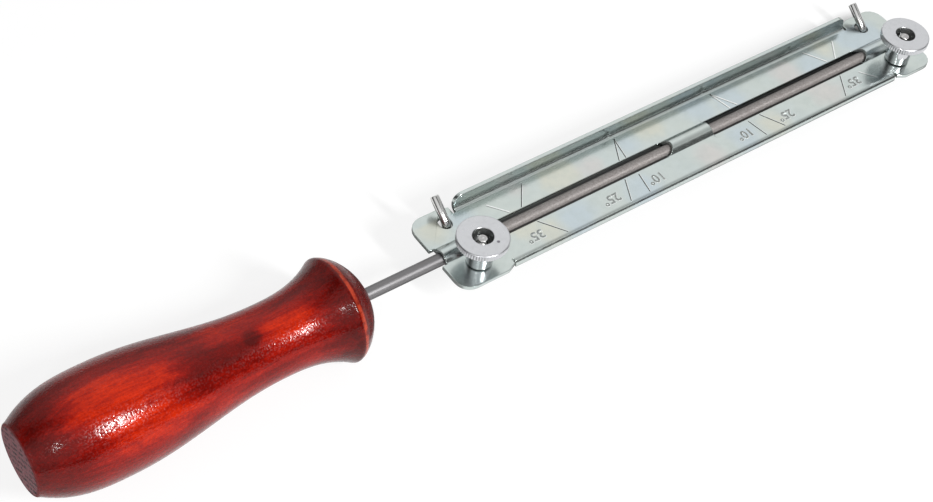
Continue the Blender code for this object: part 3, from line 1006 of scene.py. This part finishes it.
@dataclass
class TurnedHandle:
    """The turned wooden handle, pushed on the file's tang."""

    length: float = 0.1085
    butt_radius: float = 0.0110
    butt_edge: float = 0.0010
    belly_radius: float = 0.01675
    belly_x: float = 0.0268
    waist_radius: float = 0.0114
    waist_to_ridge: float = 0.0223
    flare: float = 2.77
    ridge_radius: float = 0.01645
    ridge_edge: float = 0.0016
    ridge_to_nose: float = 0.0093
    dome: float = 1.46
    nose_radius: float = 0.0065
    nose_edge: float = 0.0006
    bore_radius: float = 0.0023
    bore_depth: float = 0.0410
    bore_end_radius: float = 0.0014
    belly_start: float = 1.3
    belly_swell: float = 3.0
    sides: int = 128
    sharp_angle: float = 35.0
    finish: RedLacquer = RedLacquer()

    def belly(self, waist_x: float) -> Profile:
        """Draw the outline from the butt over the belly to the waist.

        Args:
            waist_x: the place of the waist.

        Returns:
            The points, as place and radius.
        """
        points = [
            (self.butt_edge * along, self.butt_radius - self.butt_edge * inward)
            for along, inward in quarter_arc(6)[:-1]
        ]
        for share in shares(24):
            along = share ** self.belly_start
            swell = 1 - (1 - along) ** self.belly_swell
            points.append((
                self.butt_edge + (self.belly_x - self.butt_edge) * along,
                self.butt_radius + (self.belly_radius - self.butt_radius) * swell,
            ))
        fall = self.belly_radius - self.waist_radius
        return points + [
            (self.belly_x + (waist_x - self.belly_x) * share,
             self.waist_radius + fall * (1 + math.cos(math.pi * share)) / 2)
            for share in shares(30)
        ]

    def outline(self) -> Profile:
        """Draw the outline from butt to nose.

        Returns:
            The points, as place and radius.
        """
        ridge_x = self.length - self.ridge_to_nose
        waist_x = ridge_x - self.waist_to_ridge
        rise = self.ridge_radius - self.waist_radius
        lean = math.atan(self.flare * rise / self.waist_to_ridge)
        flare_run = self.waist_to_ridge - self.ridge_edge * math.sin(lean)
        flare_rise = rise - self.ridge_edge * (1 - math.cos(lean))
        points = self.belly(waist_x)
        points += [
            (waist_x + flare_run * share, self.waist_radius + flare_rise * share ** self.flare)
            for share in shares(24)
        ]
        points += [
            (ridge_x - self.ridge_edge * math.sin(lean * (1 - share)),
             self.ridge_radius - self.ridge_edge * (1 - math.cos(lean * (1 - share))))
            for share in shares(8)
        ]
        for share in shares(24):
            along = math.sin(QUARTER_TURN * share)
            dome = max(0.0, 1 - along ** self.dome) ** (1 / self.dome)
            points.append((
                ridge_x + (self.ridge_to_nose - self.nose_edge) * along,
                self.nose_radius + (self.ridge_radius - self.nose_radius) * dome,
            ))
        points.append((self.length, self.nose_radius - self.nose_edge))
        return points

    def build(self) -> Object:
        """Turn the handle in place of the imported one.

        Returns:
            The handle.
        """
        bore_x = self.length - self.bore_depth
        profile = [
            (0.0, 0.0), *self.outline(), (self.length, self.bore_radius),
            (bore_x, self.bore_end_radius), (bore_x, 0.0),
        ]
        bm = turn(profile, Axis.X, ORIGIN, self.sides)
        piece = finish_piece("turned_handle", bm, self.finish.material(), self.sharp_angle)
        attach(piece, "handle")
        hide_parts(Part.HANDLE.value)
        return piece


@dataclass
class RoundFile:
    """The round file: smooth shank, cut length and tang."""

    nose_x: float = 0.1085
    tang: float = 0.0400
    tang_radius: float = 0.0011
    radius: float = 0.0020
    tip_x: float = 0.3299
    tip_edge: float = 0.0005
    sides: int = 64
    finish: FileSteel = FileSteel()

    def build(self) -> Object:
        """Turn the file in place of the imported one.

        Returns:
            The file.
        """
        profile = [
            (self.nose_x - self.tang, 0.0),
            (self.nose_x - self.tang, self.tang_radius),
            (self.nose_x, self.radius),
            (self.tip_x - self.tip_edge, self.radius),
            (self.tip_x, self.radius - self.tip_edge),
            (self.tip_x, 0.0),
        ]
        bm = turn(profile, Axis.X, ORIGIN, self.sides)
        piece = finish_piece("cut_file", bm, self.finish.material())
        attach(piece, "file")
        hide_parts(Part.FILE.value)
        return piece


@dataclass
class ThumbNut:
    """A knurled thumb nut with a counterbored disc on a hub."""

    part: Part
    body: str
    foot: Point
    nick: Pair | None = None
    rim: float = 0.00815
    height: float = 0.01095
    disc: float = 0.0025
    hub: float = 0.0041
    edge: float = 0.00045
    counterbore: float = 0.00320
    counterbore_edge: float = 0.00030
    counterbore_depth: float = 0.0030
    bore: float = 0.0018
    foot_edge: float = 0.0004
    neck: float = 0.0003
    teeth: int = 60
    tooth: float = 0.00025
    sharp_angle: float = 35.0

    def profile(self) -> Profile:
        """Draw the turned section.

        Returns:
            The points, as height and radius.
        """
        disc_z = self.height - self.disc
        floor_z = self.height - self.counterbore_depth
        foot, corner = self.foot_edge, 0.3 * self.foot_edge
        return [
            (0.0, self.bore), (0.0, self.hub - foot), (corner, self.hub - corner),
            (foot, self.hub), (disc_z - self.neck, self.hub), (disc_z, self.hub + self.neck),
            (disc_z, self.rim - foot), (disc_z + self.neck, self.rim),
            *((self.height - self.edge * down, self.rim - self.edge * inward)
              for inward, down in quarter_arc(4)),
            *((self.height - self.counterbore_edge * down,
               self.counterbore + self.counterbore_edge * outward)
              for down, outward in quarter_arc(3)),
            (floor_z, self.counterbore), (floor_z, self.bore),
        ]

    def build(self) -> Object:
        """Turn the nut and press its knurl.

        Returns:
            The nut.
        """
        bm = turn(self.profile(), Axis.Z, self.foot, self.teeth * 4)
        disc_z = self.foot[2] + self.height - self.disc
        for vert in bm.verts:
            out = Vector((vert.co.x - self.foot[0], vert.co.y - self.foot[1]))
            if out.length < self.rim - 0.00002 or vert.co.z < disc_z:
                continue
            wave = math.cos(math.atan2(out.y, out.x) * self.teeth)
            pressed = out * (1 - self.tooth * (0.5 - 0.5 * wave) / out.length)
            vert.co.x, vert.co.y = self.foot[0] + pressed.x, self.foot[1] + pressed.y
        x, y, z = self.foot
        nick = (x + self.nick[0], y + self.nick[1], z + self.height) if self.nick else None
        finish = SatinNut(self.part.value + "_satin", self.foot, nick)
        name = self.part.value + "_turned"
        piece = finish_piece(name, bm, finish.material(), self.sharp_angle)
        keep_flat(piece)
        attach(piece, self.body)
        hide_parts(self.part.value)
        return piece


class Wire:
    """A round wire that grows from its first cut end by straight runs and bends."""

    def __init__(self, radius: float, start: Point, heading: Point, sides: int) -> None:
        """Cut the wire's first end.

        Args:
            radius: the wire's radius there.
            start: the centre of the cut end.
            heading: the direction in which the wire runs on.
            sides: the number of its sides.
        """
        self.bm = bmesh.new()
        self.centre = Vector(start)
        self.heading = Vector(heading).normalized()
        self.radius = radius
        turned = Vector((0, 0, 1)).rotation_difference(self.heading).to_matrix().to_4x4()
        bmesh.ops.create_circle(
            self.bm, cap_ends=True, radius=radius, segments=sides,
            matrix=Matrix.Translation(self.centre) @ turned,
        )
        self.end = self.bm.faces[:][0]

    def take_end(self, swept: list[Any]) -> None:
        """Take the face among the swept geometry as the wire's end."""
        self.end = next(item for item in swept if isinstance(item, bmesh.types.BMFace))

    def end_geometry(self) -> list[Any]:
        """Return the end face with its edges and corners."""
        return [self.end, *self.end.edges, *self.end.verts]

    def run(self, length: float, radius: float | None = None) -> None:
        """Draw the wire straight on.

        Args:
            length: how far it runs.
            radius: its radius at the end, if that changes.
        """
        self.take_end(
            bmesh.ops.extrude_face_region(self.bm, geom=self.end_geometry())["geom"]
        )
        verts = self.end.verts[:]
        bmesh.ops.translate(self.bm, verts=verts, vec=self.heading * length)
        self.centre = self.centre + self.heading * length
        if radius is not None:
            factor = radius / self.radius
            bmesh.ops.scale(
                self.bm, verts=verts, vec=(factor, factor, factor),
                space=Matrix.Translation(-self.centre),
            )
            self.radius = radius

    def bend(self, angle: float, bend_radius: float, toward: Point, steps: int) -> None:
        """Bend the wire towards a direction.

        Args:
            angle: how far it turns, in radians.
            bend_radius: the radius of its centre line.
            toward: the direction that it bends to.
            steps: the number of short runs.
        """
        side = Vector(toward).normalized()
        axis = self.heading.cross(side)
        pivot = self.centre + side * bend_radius
        self.take_end(bmesh.ops.spin(
            self.bm, geom=self.end_geometry(), cent=pivot, axis=axis, dvec=(0, 0, 0),
            angle=angle, steps=steps, use_merge=False,
        )["geom_last"])
        turned = Matrix.Rotation(angle, 3, axis)
        self.centre = pivot + turned @ (self.centre - pivot)
        self.heading = turned @ self.heading


@dataclass
class WireClamp:
    """A bent wire: threaded stud, crossbar under the file, and hooked leg."""

    part: Part
    body: str
    foot: Point
    material: Material
    wire: float = 0.0014
    thread: float = 0.0015
    thread_core: float = 0.00128
    thread_length: float = 0.0120
    tip_edge: float = 0.00010
    tip_length: float = 0.00030
    pitch: float = 0.0005
    thread_sink: float = 0.00004
    crest_half: float = 0.00006
    root_share: float = 0.46
    turn_steps: int = 24
    tip_z: float = 0.01165
    crossbar_z: float = -0.0037
    bend_radius: float = 0.0022
    leg_offset: float = 0.0094
    leg_bend: float = 0.0022
    leg_reach: float = 0.0076
    leg_rise: float = 0.0056
    leg_cut: float = 0.00006
    sheet: float = 0.0014
    edge: float = 0.0003
    sides: int = 32
    bend_steps: int = 14
    leg_steps: int = 12

    def shape(self) -> BMesh:
        """Bend the wire, from the stud's tip to the leg's cut end.

        Returns:
            The wire's shape.
        """
        x, y, _ = self.foot
        lean = math.atan2(self.leg_reach, self.leg_rise)
        tangent = self.leg_bend * math.tan(lean / 2)
        thread_end = self.tip_z - self.thread_length
        leg_start = self.crossbar_z + self.bend_radius
        tip = self.thread - self.tip_edge / 2
        wire = Wire(tip - self.tip_edge, (x, y, self.tip_z), (0, 0, -1), self.sides)
        wire.run(self.tip_edge, tip)
        wire.run(self.tip_length)
        wire.run(self.edge, self.thread_core)
        wire.run(self.thread_length - self.tip_edge - self.tip_length - 2 * self.edge)
        wire.run(self.edge, self.wire)
        wire.run(thread_end - leg_start)
        wire.bend(QUARTER_TURN, self.bend_radius, (0, 1, 0), self.bend_steps)
        wire.run(self.leg_offset - y - 2 * self.bend_radius)
        wire.bend(QUARTER_TURN, self.bend_radius, (0, 0, 1), self.bend_steps)
        wire.run(self.sheet - tangent - leg_start)
        wire.bend(lean, self.leg_bend, (0, 1, 0), self.leg_steps)
        wire.run(self.leg_reach / math.sin(lean) - tangent - self.edge - self.leg_cut)
        for inward in (self.edge / 9, self.edge / 3, self.edge):
            wire.run(self.edge / 3, self.wire - inward)
        return wire.bm

    def thread_shape(self) -> BMesh:
        """Wind the rolled thread, one ridge round the stud.

        Returns:
            The ridge's shape.
        """
        x, y, _ = self.foot
        start = self.tip_z - self.tip_length - 2 * self.edge
        turns = int((self.thread_length - self.tip_length - 3 * self.edge) / self.pitch)
        half = self.pitch * self.root_share
        core, crest = self.thread_core - self.thread_sink, self.thread - self.thread_sink
        section = [
            (core, half), (crest, self.crest_half), (crest, -self.crest_half), (core, -half),
        ]
        bm = bmesh.new()
        spots = [bm.verts.new((x + r, y, start + z)) for r, z in section]
        edges = [bm.edges.new(pair) for pair in zip(spots, spots[1:])]
        bmesh.ops.spin(
            bm, geom=spots + edges, cent=(x, y, 0), axis=Axis.Z.value,
            dvec=(0, 0, -self.pitch / self.turn_steps), angle=math.tau * turns,
            steps=self.turn_steps * turns, use_merge=False,
        )
        return bm

    def build(self) -> list[Object]:
        """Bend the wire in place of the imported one, and roll its thread.

        Returns:
            The bent wire and its thread.
        """
        name = self.part.value
        bent = finish_piece(name + "_bent_wire", self.shape(), self.material, 30.0)
        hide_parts(name)
        thread = finish_piece(name + "_thread", self.thread_shape(), self.material, 20.0)
        for piece in (bent, thread):
            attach(piece, self.body)
        return [bent, thread]


@dataclass
class AngleMarks:
    """The sheet's engraved angle lines and their plain numbers, drawn as raised strips and digits
    in painted shade and painted highlight.
    """

    top: float = 0.0014
    rise: float = 0.00003
    groove: float = 0.00034
    # The width of the strip of painted highlight beside each groove.
    burr: float = 0.00016
    digit_size: float = 0.0047
    digit_weight: float = 0.00011
    rim_weight: float = 0.00020
    rim_shift: float = 0.00010
    lift: float = 0.000004
    curve_steps: int = 3
    sharp_angle: float = 20.0
    # The lines' painted shade, the numbers' painted shade and the painted highlight beside lines
    # and numbers.
    groove_shade: EngravingPaintedLight = EngravingPaintedLight()
    stamped: EngravingPaintedLight = EngravingPaintedLight(
        "painted_number_shade", (0.28, 0.30, 0.29), (0.50, 0.54, 0.52), 0.40,
    )
    burr_highlight: EngravingPaintedLight = EngravingPaintedLight(
        "painted_burr_highlight", (0.92, 0.94, 0.93), (0.78, 0.82, 0.81), 0.25,
    )
    # Lines drawn mostly in painted shade, then lines drawn mostly in painted highlight.
    dark_lines: Lines = (
        (175.60, 11.30, 169.75, 3.50), (212.98, 11.80, 208.50, 3.50),
        (212.98, 11.80, 211.25, 3.50), (170.50, -3.60, 176.10, -11.75),
        (205.00, -3.75, 201.05, -11.75), (210.30, -4.14, 208.69, -11.75),
        (256.70, -4.12, 257.98, -11.75), (262.00, -3.60, 266.25, -11.75),
        (298.60, -3.65, 293.65, -11.75),
    )
    bright_lines: Lines = (
        (160.65, 9.54, 165.22, 3.60), (253.51, 11.80, 255.25, 3.50),
        (253.51, 11.80, 258.55, 3.50), (294.75, 11.31, 299.35, 3.50),
        (307.99, 10.57, 302.95, 3.50), (305.47, -5.56, 309.53, -10.88),
    )
    numbers: tuple[tuple[str, float, float], ...] = (
        ("35\u00b0", 166.25, -7.99), ("25\u00b0", 195.96, -7.96),
        ("10\u00b0", 213.98, -8.24), ("10\u00b0", 251.71, -7.89),
        ("25\u00b0", 269.36, -8.12), ("35\u00b0", 300.12, -7.96),
    )

    def strip(self, bm: BMesh, line: Sequence[float], inner: float, outer: float) -> None:
        """Lay one side of an engraved line: a narrow raised strip, in painted shade or in painted
        highlight.

        Args:
            bm: the shape that it joins.
            line: the line's two ends in millimetres.
            inner: its near edge, measured across from the line.
            outer: its far edge.
        """
        first, last = Vector(line[:2]) / MM_PER_M, Vector(line[2:]) / MM_PER_M
        along = last - first
        across = Vector((-along.y, along.x)).normalized()
        if across.x < 0:
            across = -across
        middle = (first + last) / 2 + across * (inner + outer) / 2
        bmesh.ops.create_cube(bm, size=1.0, matrix=Matrix.LocRotScale(
            (*middle, self.top + self.lift + self.rise / 2),
            Matrix.Rotation(math.atan2(along.y, along.x), 3, "Z"),
            (along.length, outer - inner, self.rise),
        ))

    def build_lines(self, dark: Material, bright: Material) -> list[Object]:
        """Engrave the lines: a strip of painted shade for the groove beside a strip of painted
        highlight.

        Args:
            dark: the groove's painted shade.
            bright: the painted highlight.

        Returns:
            The strips of painted shade and the strips of painted highlight.
        """
        pieces = []
        half = self.groove / 2
        for name, material, strips in (
            ("angle_line_groove_shades", dark, (
                (self.dark_lines, -half, half), (self.bright_lines, -half, -half / 4),
            )),
            ("angle_line_burr_highlights", bright, (
                (self.dark_lines, half, half + self.burr),
                (self.bright_lines, -half / 4, half + 1.5 * self.burr),
            )),
        ):
            bm = bmesh.new()
            for lines, inner, outer in strips:
                for line in lines:
                    self.strip(bm, line, inner, outer)
            pieces.append(finish_piece(name, bm, material, self.sharp_angle))
        return pieces

    def build_numbers(
        self, name: str, material: Material, weight: float, rise: float, shift: float,
    ) -> Object:
        """Stamp the plain angle numbers, to be read from the fence's side, in painted shade, or as
        rims of painted highlight.

        Args:
            name: the piece's name.
            material: its finish.
            weight: how much each stroke is thickened on either side.
            rise: how high the strokes stand.
            shift: how far they are moved towards the lip.

        Returns:
            The numbers.
        """
        bm = bmesh.new()
        for text, x, y in self.numbers:
            curve = bpy.data.curves.new("angle_number", "FONT")
            curve.body = text
            curve.size = self.digit_size
            curve.extrude = rise / 2
            curve.offset = weight
            curve.align_x, curve.align_y = "CENTER", "CENTER"
            curve.resolution_u = self.curve_steps
            stamp = new_object("angle_number", curve)
            bpy.context.view_layer.update()
            mesh = bpy.data.meshes.new_from_object(stamp)
            place = Matrix.Translation(
                (x / MM_PER_M, y / MM_PER_M - shift, self.top + rise / 2)
            )
            mesh.transform(place @ Matrix.Rotation(math.pi, 4, "Z"))
            bm.from_mesh(mesh)
            bpy.data.objects.remove(stamp)
            bpy.data.curves.remove(curve)
            bpy.data.meshes.remove(mesh)
        return finish_piece(name, bm, material, self.sharp_angle)

    def build(self) -> list[Object]:
        """Engrave the lines and stamp the numbers.

        Returns:
            The strips of painted shade and of painted highlight, the numbers in painted shade and
            their rims of painted highlight.
        """
        bright = self.burr_highlight.material()
        pieces = [
            *self.build_lines(self.groove_shade.material(), bright),
            self.build_numbers(
                "angle_numbers", self.stamped.material(), self.digit_weight, self.rise, 0.0,
            ),
            self.build_numbers(
                "angle_number_rim_highlights", bright, self.rim_weight, self.rise / 2, self.rim_shift,
            ),
        ]
        for piece in pieces:
            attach(piece, "plate")
        return pieces


@dataclass
class Studio:
    """A pale floor, two softboxes, a white world and the photograph's camera.

    Each shadow is an area of the floor: its ends along X, its ends along Y and the
    width of its soft edge.
    """

    focal_pixels: float = 1862.25
    sensor_width: float = 36.0
    eye: Point = (-0.102934, -0.269835, 0.419386)
    right: Point = (0.80659092, -0.58158155, 0.10570711)
    down: Point = (-0.3872347, -0.6549907, -0.64887323)
    forward: Point = (0.44660987, 0.4824418, -0.7535181)
    rests_at: Pair = (0.0992, -0.01645)
    tip_rests_at: Pair = (0.3219, -0.0056)
    floor_half: float = 3.0
    floor_gap: float = 0.00005
    floor_colour: Colour = grey(0.92)
    floor_speck: Colour = grey(0.88)
    floor_shade: Colour = grey(0.16)
    floor_roughness: float = 0.9
    floor_specular: float = 0.1
    floor_glow: float = 0.76
    glow_colour: Colour = grey(1.08)
    paper: Grain = Grain(220.0)
    seen_shadow: Area = (0.144, 0.338, -0.006, 0.027, 0.013)
    mirrored_shadow: Area = (0.116, 0.340, -0.020, 0.036, 0.003)
    mirrored_share: float = 0.85
    butt_shadow: Area = (-0.05, 0.004, -0.03, 0.05, 0.003)
    butt_share: float = 0.7
    soft: Colour = grey(0.40)
    backdrop: Point = (0.583, 0.694, 0.423)
    mirrored: tuple[Pair, ...] = (
        (0.20, 0.07), (0.35, 0.11), (0.43, 0.50), (0.70, 0.65), (0.88, 1.0),
    )
    low_span: Pair = (0.12, 0.70)
    low_share: float = 0.60
    low_colour: Colour = grey(0.07)
    over_fence: Point = (0.500, -0.490, 0.713)
    over_fence_span: Pair = (0.985, 0.998)
    over_butt: Point = (-0.53, -0.55, 0.645)
    over_butt_span: Pair = (0.68, 0.94)
    over_butt_share: float = 0.80
    side_colour: Colour = grey(0.92)
    key_direction: Point = (0.1545, -0.727, 0.669)
    lamp_aim: Point = (0.10, 0.0, 0.0)
    lamp_distance: float = 1.25
    key_size: Pair = (0.095, 0.30)
    key_power: float = 11.8
    rim_size: Pair = (0.06, 0.12)
    rim_power: float = 1.4
    clip: Pair = (0.01, 20.0)

    @staticmethod
    def seen_rays(look: Look) -> Value:
        """Return 1 for the rays of the camera, of gloss and of glass, else 0.

        Args:
            look: the floor's or the world's look.

        Returns:
            The share of the ray.
        """
        rays = look.node("ShaderNodeLightPath").outputs
        kinds = ("Is Camera Ray", "Is Glossy Ray", "Is Transmission Ray")
        return look.greatest(Value(look, rays[kind]) for kind in kinds)

    @staticmethod
    def patch(look: Look, area: Area) -> Value:
        """Return 1 on an area of the floor and 0 outside it.

        Args:
            look: the floor's look.
            area: the area's ends along X and Y, and its soft edge, which lies inside.

        Returns:
            The share.
        """
        x_from, x_to, y_from, y_to, soft = area
        x, y, _ = look.axes()
        along = x.ramp(x_from, x_from + soft) * (1.0 - x.ramp(x_to - soft, x_to))
        return along * y.ramp(y_from, y_from + soft) * (1.0 - y.ramp(y_to - soft, y_to))

    def glow(self, look: Look, seen: Value, shaded: Value, glossy: Value) -> Value:
        """Return how much the floor glows for a ray, less where the plate shades it.

        Args:
            look: the floor's look.
            seen: 1 in the plate's soft shadow, which shows through the slots.
            shaded: 1 on the floor that the plate shades for gloss.
            glossy: 1 for the rays of gloss.

        Returns:
            The glow's share.
        """
        _, y, _ = look.axes()
        front = y.ramp(-0.20, -0.08).blend(0.3, 1.0)
        back = y.ramp(0.0, 0.05).blend(1.0, 0.5)
        under_butt = self.patch(look, self.butt_shadow) * self.butt_share
        mirrored = front * back * (1.0 - shaded) * (1.0 - under_butt)
        return self.seen_rays(look) * self.floor_glow * glossy.blend(1.0 - seen, mirrored)

    def floor(self) -> Object:
        """Lay the floor under the handle's ridge and the far clamp.

        Returns:
            The floor.
        """
        (ax, az), (bx, bz) = self.rests_at, self.tip_rests_at
        slope = (bz - az) / (bx - ax)
        bm = bmesh.new()
        bmesh.ops.create_grid(bm, x_segments=1, y_segments=1, size=self.floor_half)
        for vert in bm.verts:
            vert.co.z = az - self.floor_gap + slope * (vert.co.x - ax)
        look = Look("pale_floor")
        seen = self.patch(look, self.seen_shadow)
        colour = look.mix(look.noise(self.paper) * 0.1, self.floor_colour, self.floor_speck)
        shaded = self.patch(look, self.mirrored_shadow)
        glossy = Value(look, look.node("ShaderNodeLightPath").outputs["Is Glossy Ray"])
        dark = look.greatest((seen, shaded * glossy * self.mirrored_share))
        look.surface(
            Base_Color=look.mix(dark, colour, self.floor_shade),
            Roughness=self.floor_roughness, Specular_IOR_Level=self.floor_specular,
        )
        glow = look.node("ShaderNodeEmission", sockets={"Color": self.glow_colour})
        both = look.node("ShaderNodeMixShader", sockets={
            0: self.glow(look, seen, shaded, glossy), 1: look.shader.outputs[0], 2: glow.outputs[0],
        })
        look.feed(look.tree.nodes["Material Output"].inputs["Surface"], both.outputs[0])
        piece = finish_piece("pale_floor", bm, look.material)
        return piece

    @staticmethod
    def towards(look: Look, heading: Socket, direction: Point) -> Value:
        """Return how nearly a heading is a direction.

        Args:
            look: the world's look.
            heading: the ray's heading.
            direction: the direction that it is held against.

        Returns:
            1 where they agree, 0 where they are square to each other.
        """
        node = look.node(
            "ShaderNodeVectorMath", {"operation": "DOT_PRODUCT"}, {0: heading, 1: direction},
        )
        return Value(look, node.outputs["Value"])

    def world(self) -> None:
        """Light softly from all round, with a white backdrop that gloss sees too."""
        world = bpy.data.worlds.new("studio_world")
        world.use_nodes = True
        look = Look.on_tree(world.node_tree, world.node_tree.nodes["Background"])
        rays = look.node("ShaderNodeLightPath").outputs
        heading = look.node("ShaderNodeTexCoord").outputs["Generated"]
        facing = self.towards(look, heading, self.backdrop)
        room = look.colours(facing, [(place, grey(level)) for place, level in self.mirrored])
        _, _, up = look.axes(heading)
        low = 1.0 - up.ramp(*self.low_span)
        room = look.mix(low * self.low_share, room, self.low_colour)
        fence = self.towards(look, heading, self.over_fence).ramp(*self.over_fence_span)
        butt = self.towards(look, heading, self.over_butt).ramp(*self.over_butt_span)
        sides = look.greatest((fence, butt * self.over_butt_share))
        room = look.mix(sides, room, self.side_colour)
        level = look.mix(self.seen_rays(look), self.soft, room)
        level = look.mix(Value(look, rays["Is Camera Ray"]), level, grey(1.0))
        look.surface(Color=level, Strength=1.0)
        bpy.context.scene.world = world

    def lamp(self, name: str, direction: Point, size: Pair, power: float) -> None:
        """Hang one soft rectangular lamp that faces the tool.

        Args:
            name: the lamp's name.
            direction: where it hangs, seen from the tool.
            size: its width and height.
            power: its power in watts.
        """
        aim = Vector(self.lamp_aim)
        place = aim + Vector(direction).normalized() * self.lamp_distance
        data = bpy.data.lights.new(name, "AREA")
        data.shape = "RECTANGLE"
        data.size, data.size_y = size
        data.energy = power
        lamp = new_object(name, data)
        lamp.location = place
        lamp.rotation_euler = (aim - place).to_track_quat("-Z", "Y").to_euler()

    def camera(self) -> None:
        """Set the camera where the photograph was taken from."""
        data = bpy.data.cameras.new("photo_camera")
        data.sensor_width = self.sensor_width
        data.lens = self.focal_pixels * self.sensor_width / IMAGE_WIDTH
        data.clip_start, data.clip_end = self.clip
        camera = new_object("photo_camera", data)
        turned = Matrix((self.right, -Vector(self.down), -Vector(self.forward)))
        camera.matrix_world = Matrix.Translation(self.eye) @ turned.transposed().to_4x4()
        bpy.context.scene.camera = camera

    def build(self) -> None:
        """Set up the whole studio."""
        self.camera()
        self.floor()
        self.world()
        self.lamp("key_softbox", self.key_direction, self.key_size, self.key_power)
        self.lamp("rim_softbox", self.over_butt, self.rim_size, self.rim_power)
        bpy.context.scene.view_settings.view_transform = "Standard"


def main() -> None:
    """Build the dressed file guide, piece by piece."""
    logging.basicConfig(level=logging.INFO, format="%(name)s: %(message)s")
    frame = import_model()
    Studio().build()
    wire = BrightWire().material()
    pieces = [
        PressedPlate().build(frame["nodes"][Part.PLATE.value]),
        TurnedHandle().build(),
        RoundFile().build(),
        ThumbNut(Part.NEAR_NUT, "near_nut", NEAR_STUD, NEAR_NICK).build(),
        ThumbNut(Part.FAR_NUT, "far_nut", FAR_STUD).build(),
        *WireClamp(Part.NEAR_CLAMP, "near_wire", NEAR_STUD, wire).build(),
        *WireClamp(Part.FAR_CLAMP, "far_wire", FAR_STUD, wire).build(),
        *AngleMarks().build(),
    ]
    for piece in pieces:
        LOG.info("%s: %d faces", piece.name, len(piece.data.polygons))


if __name__ == "__main__":
    main()
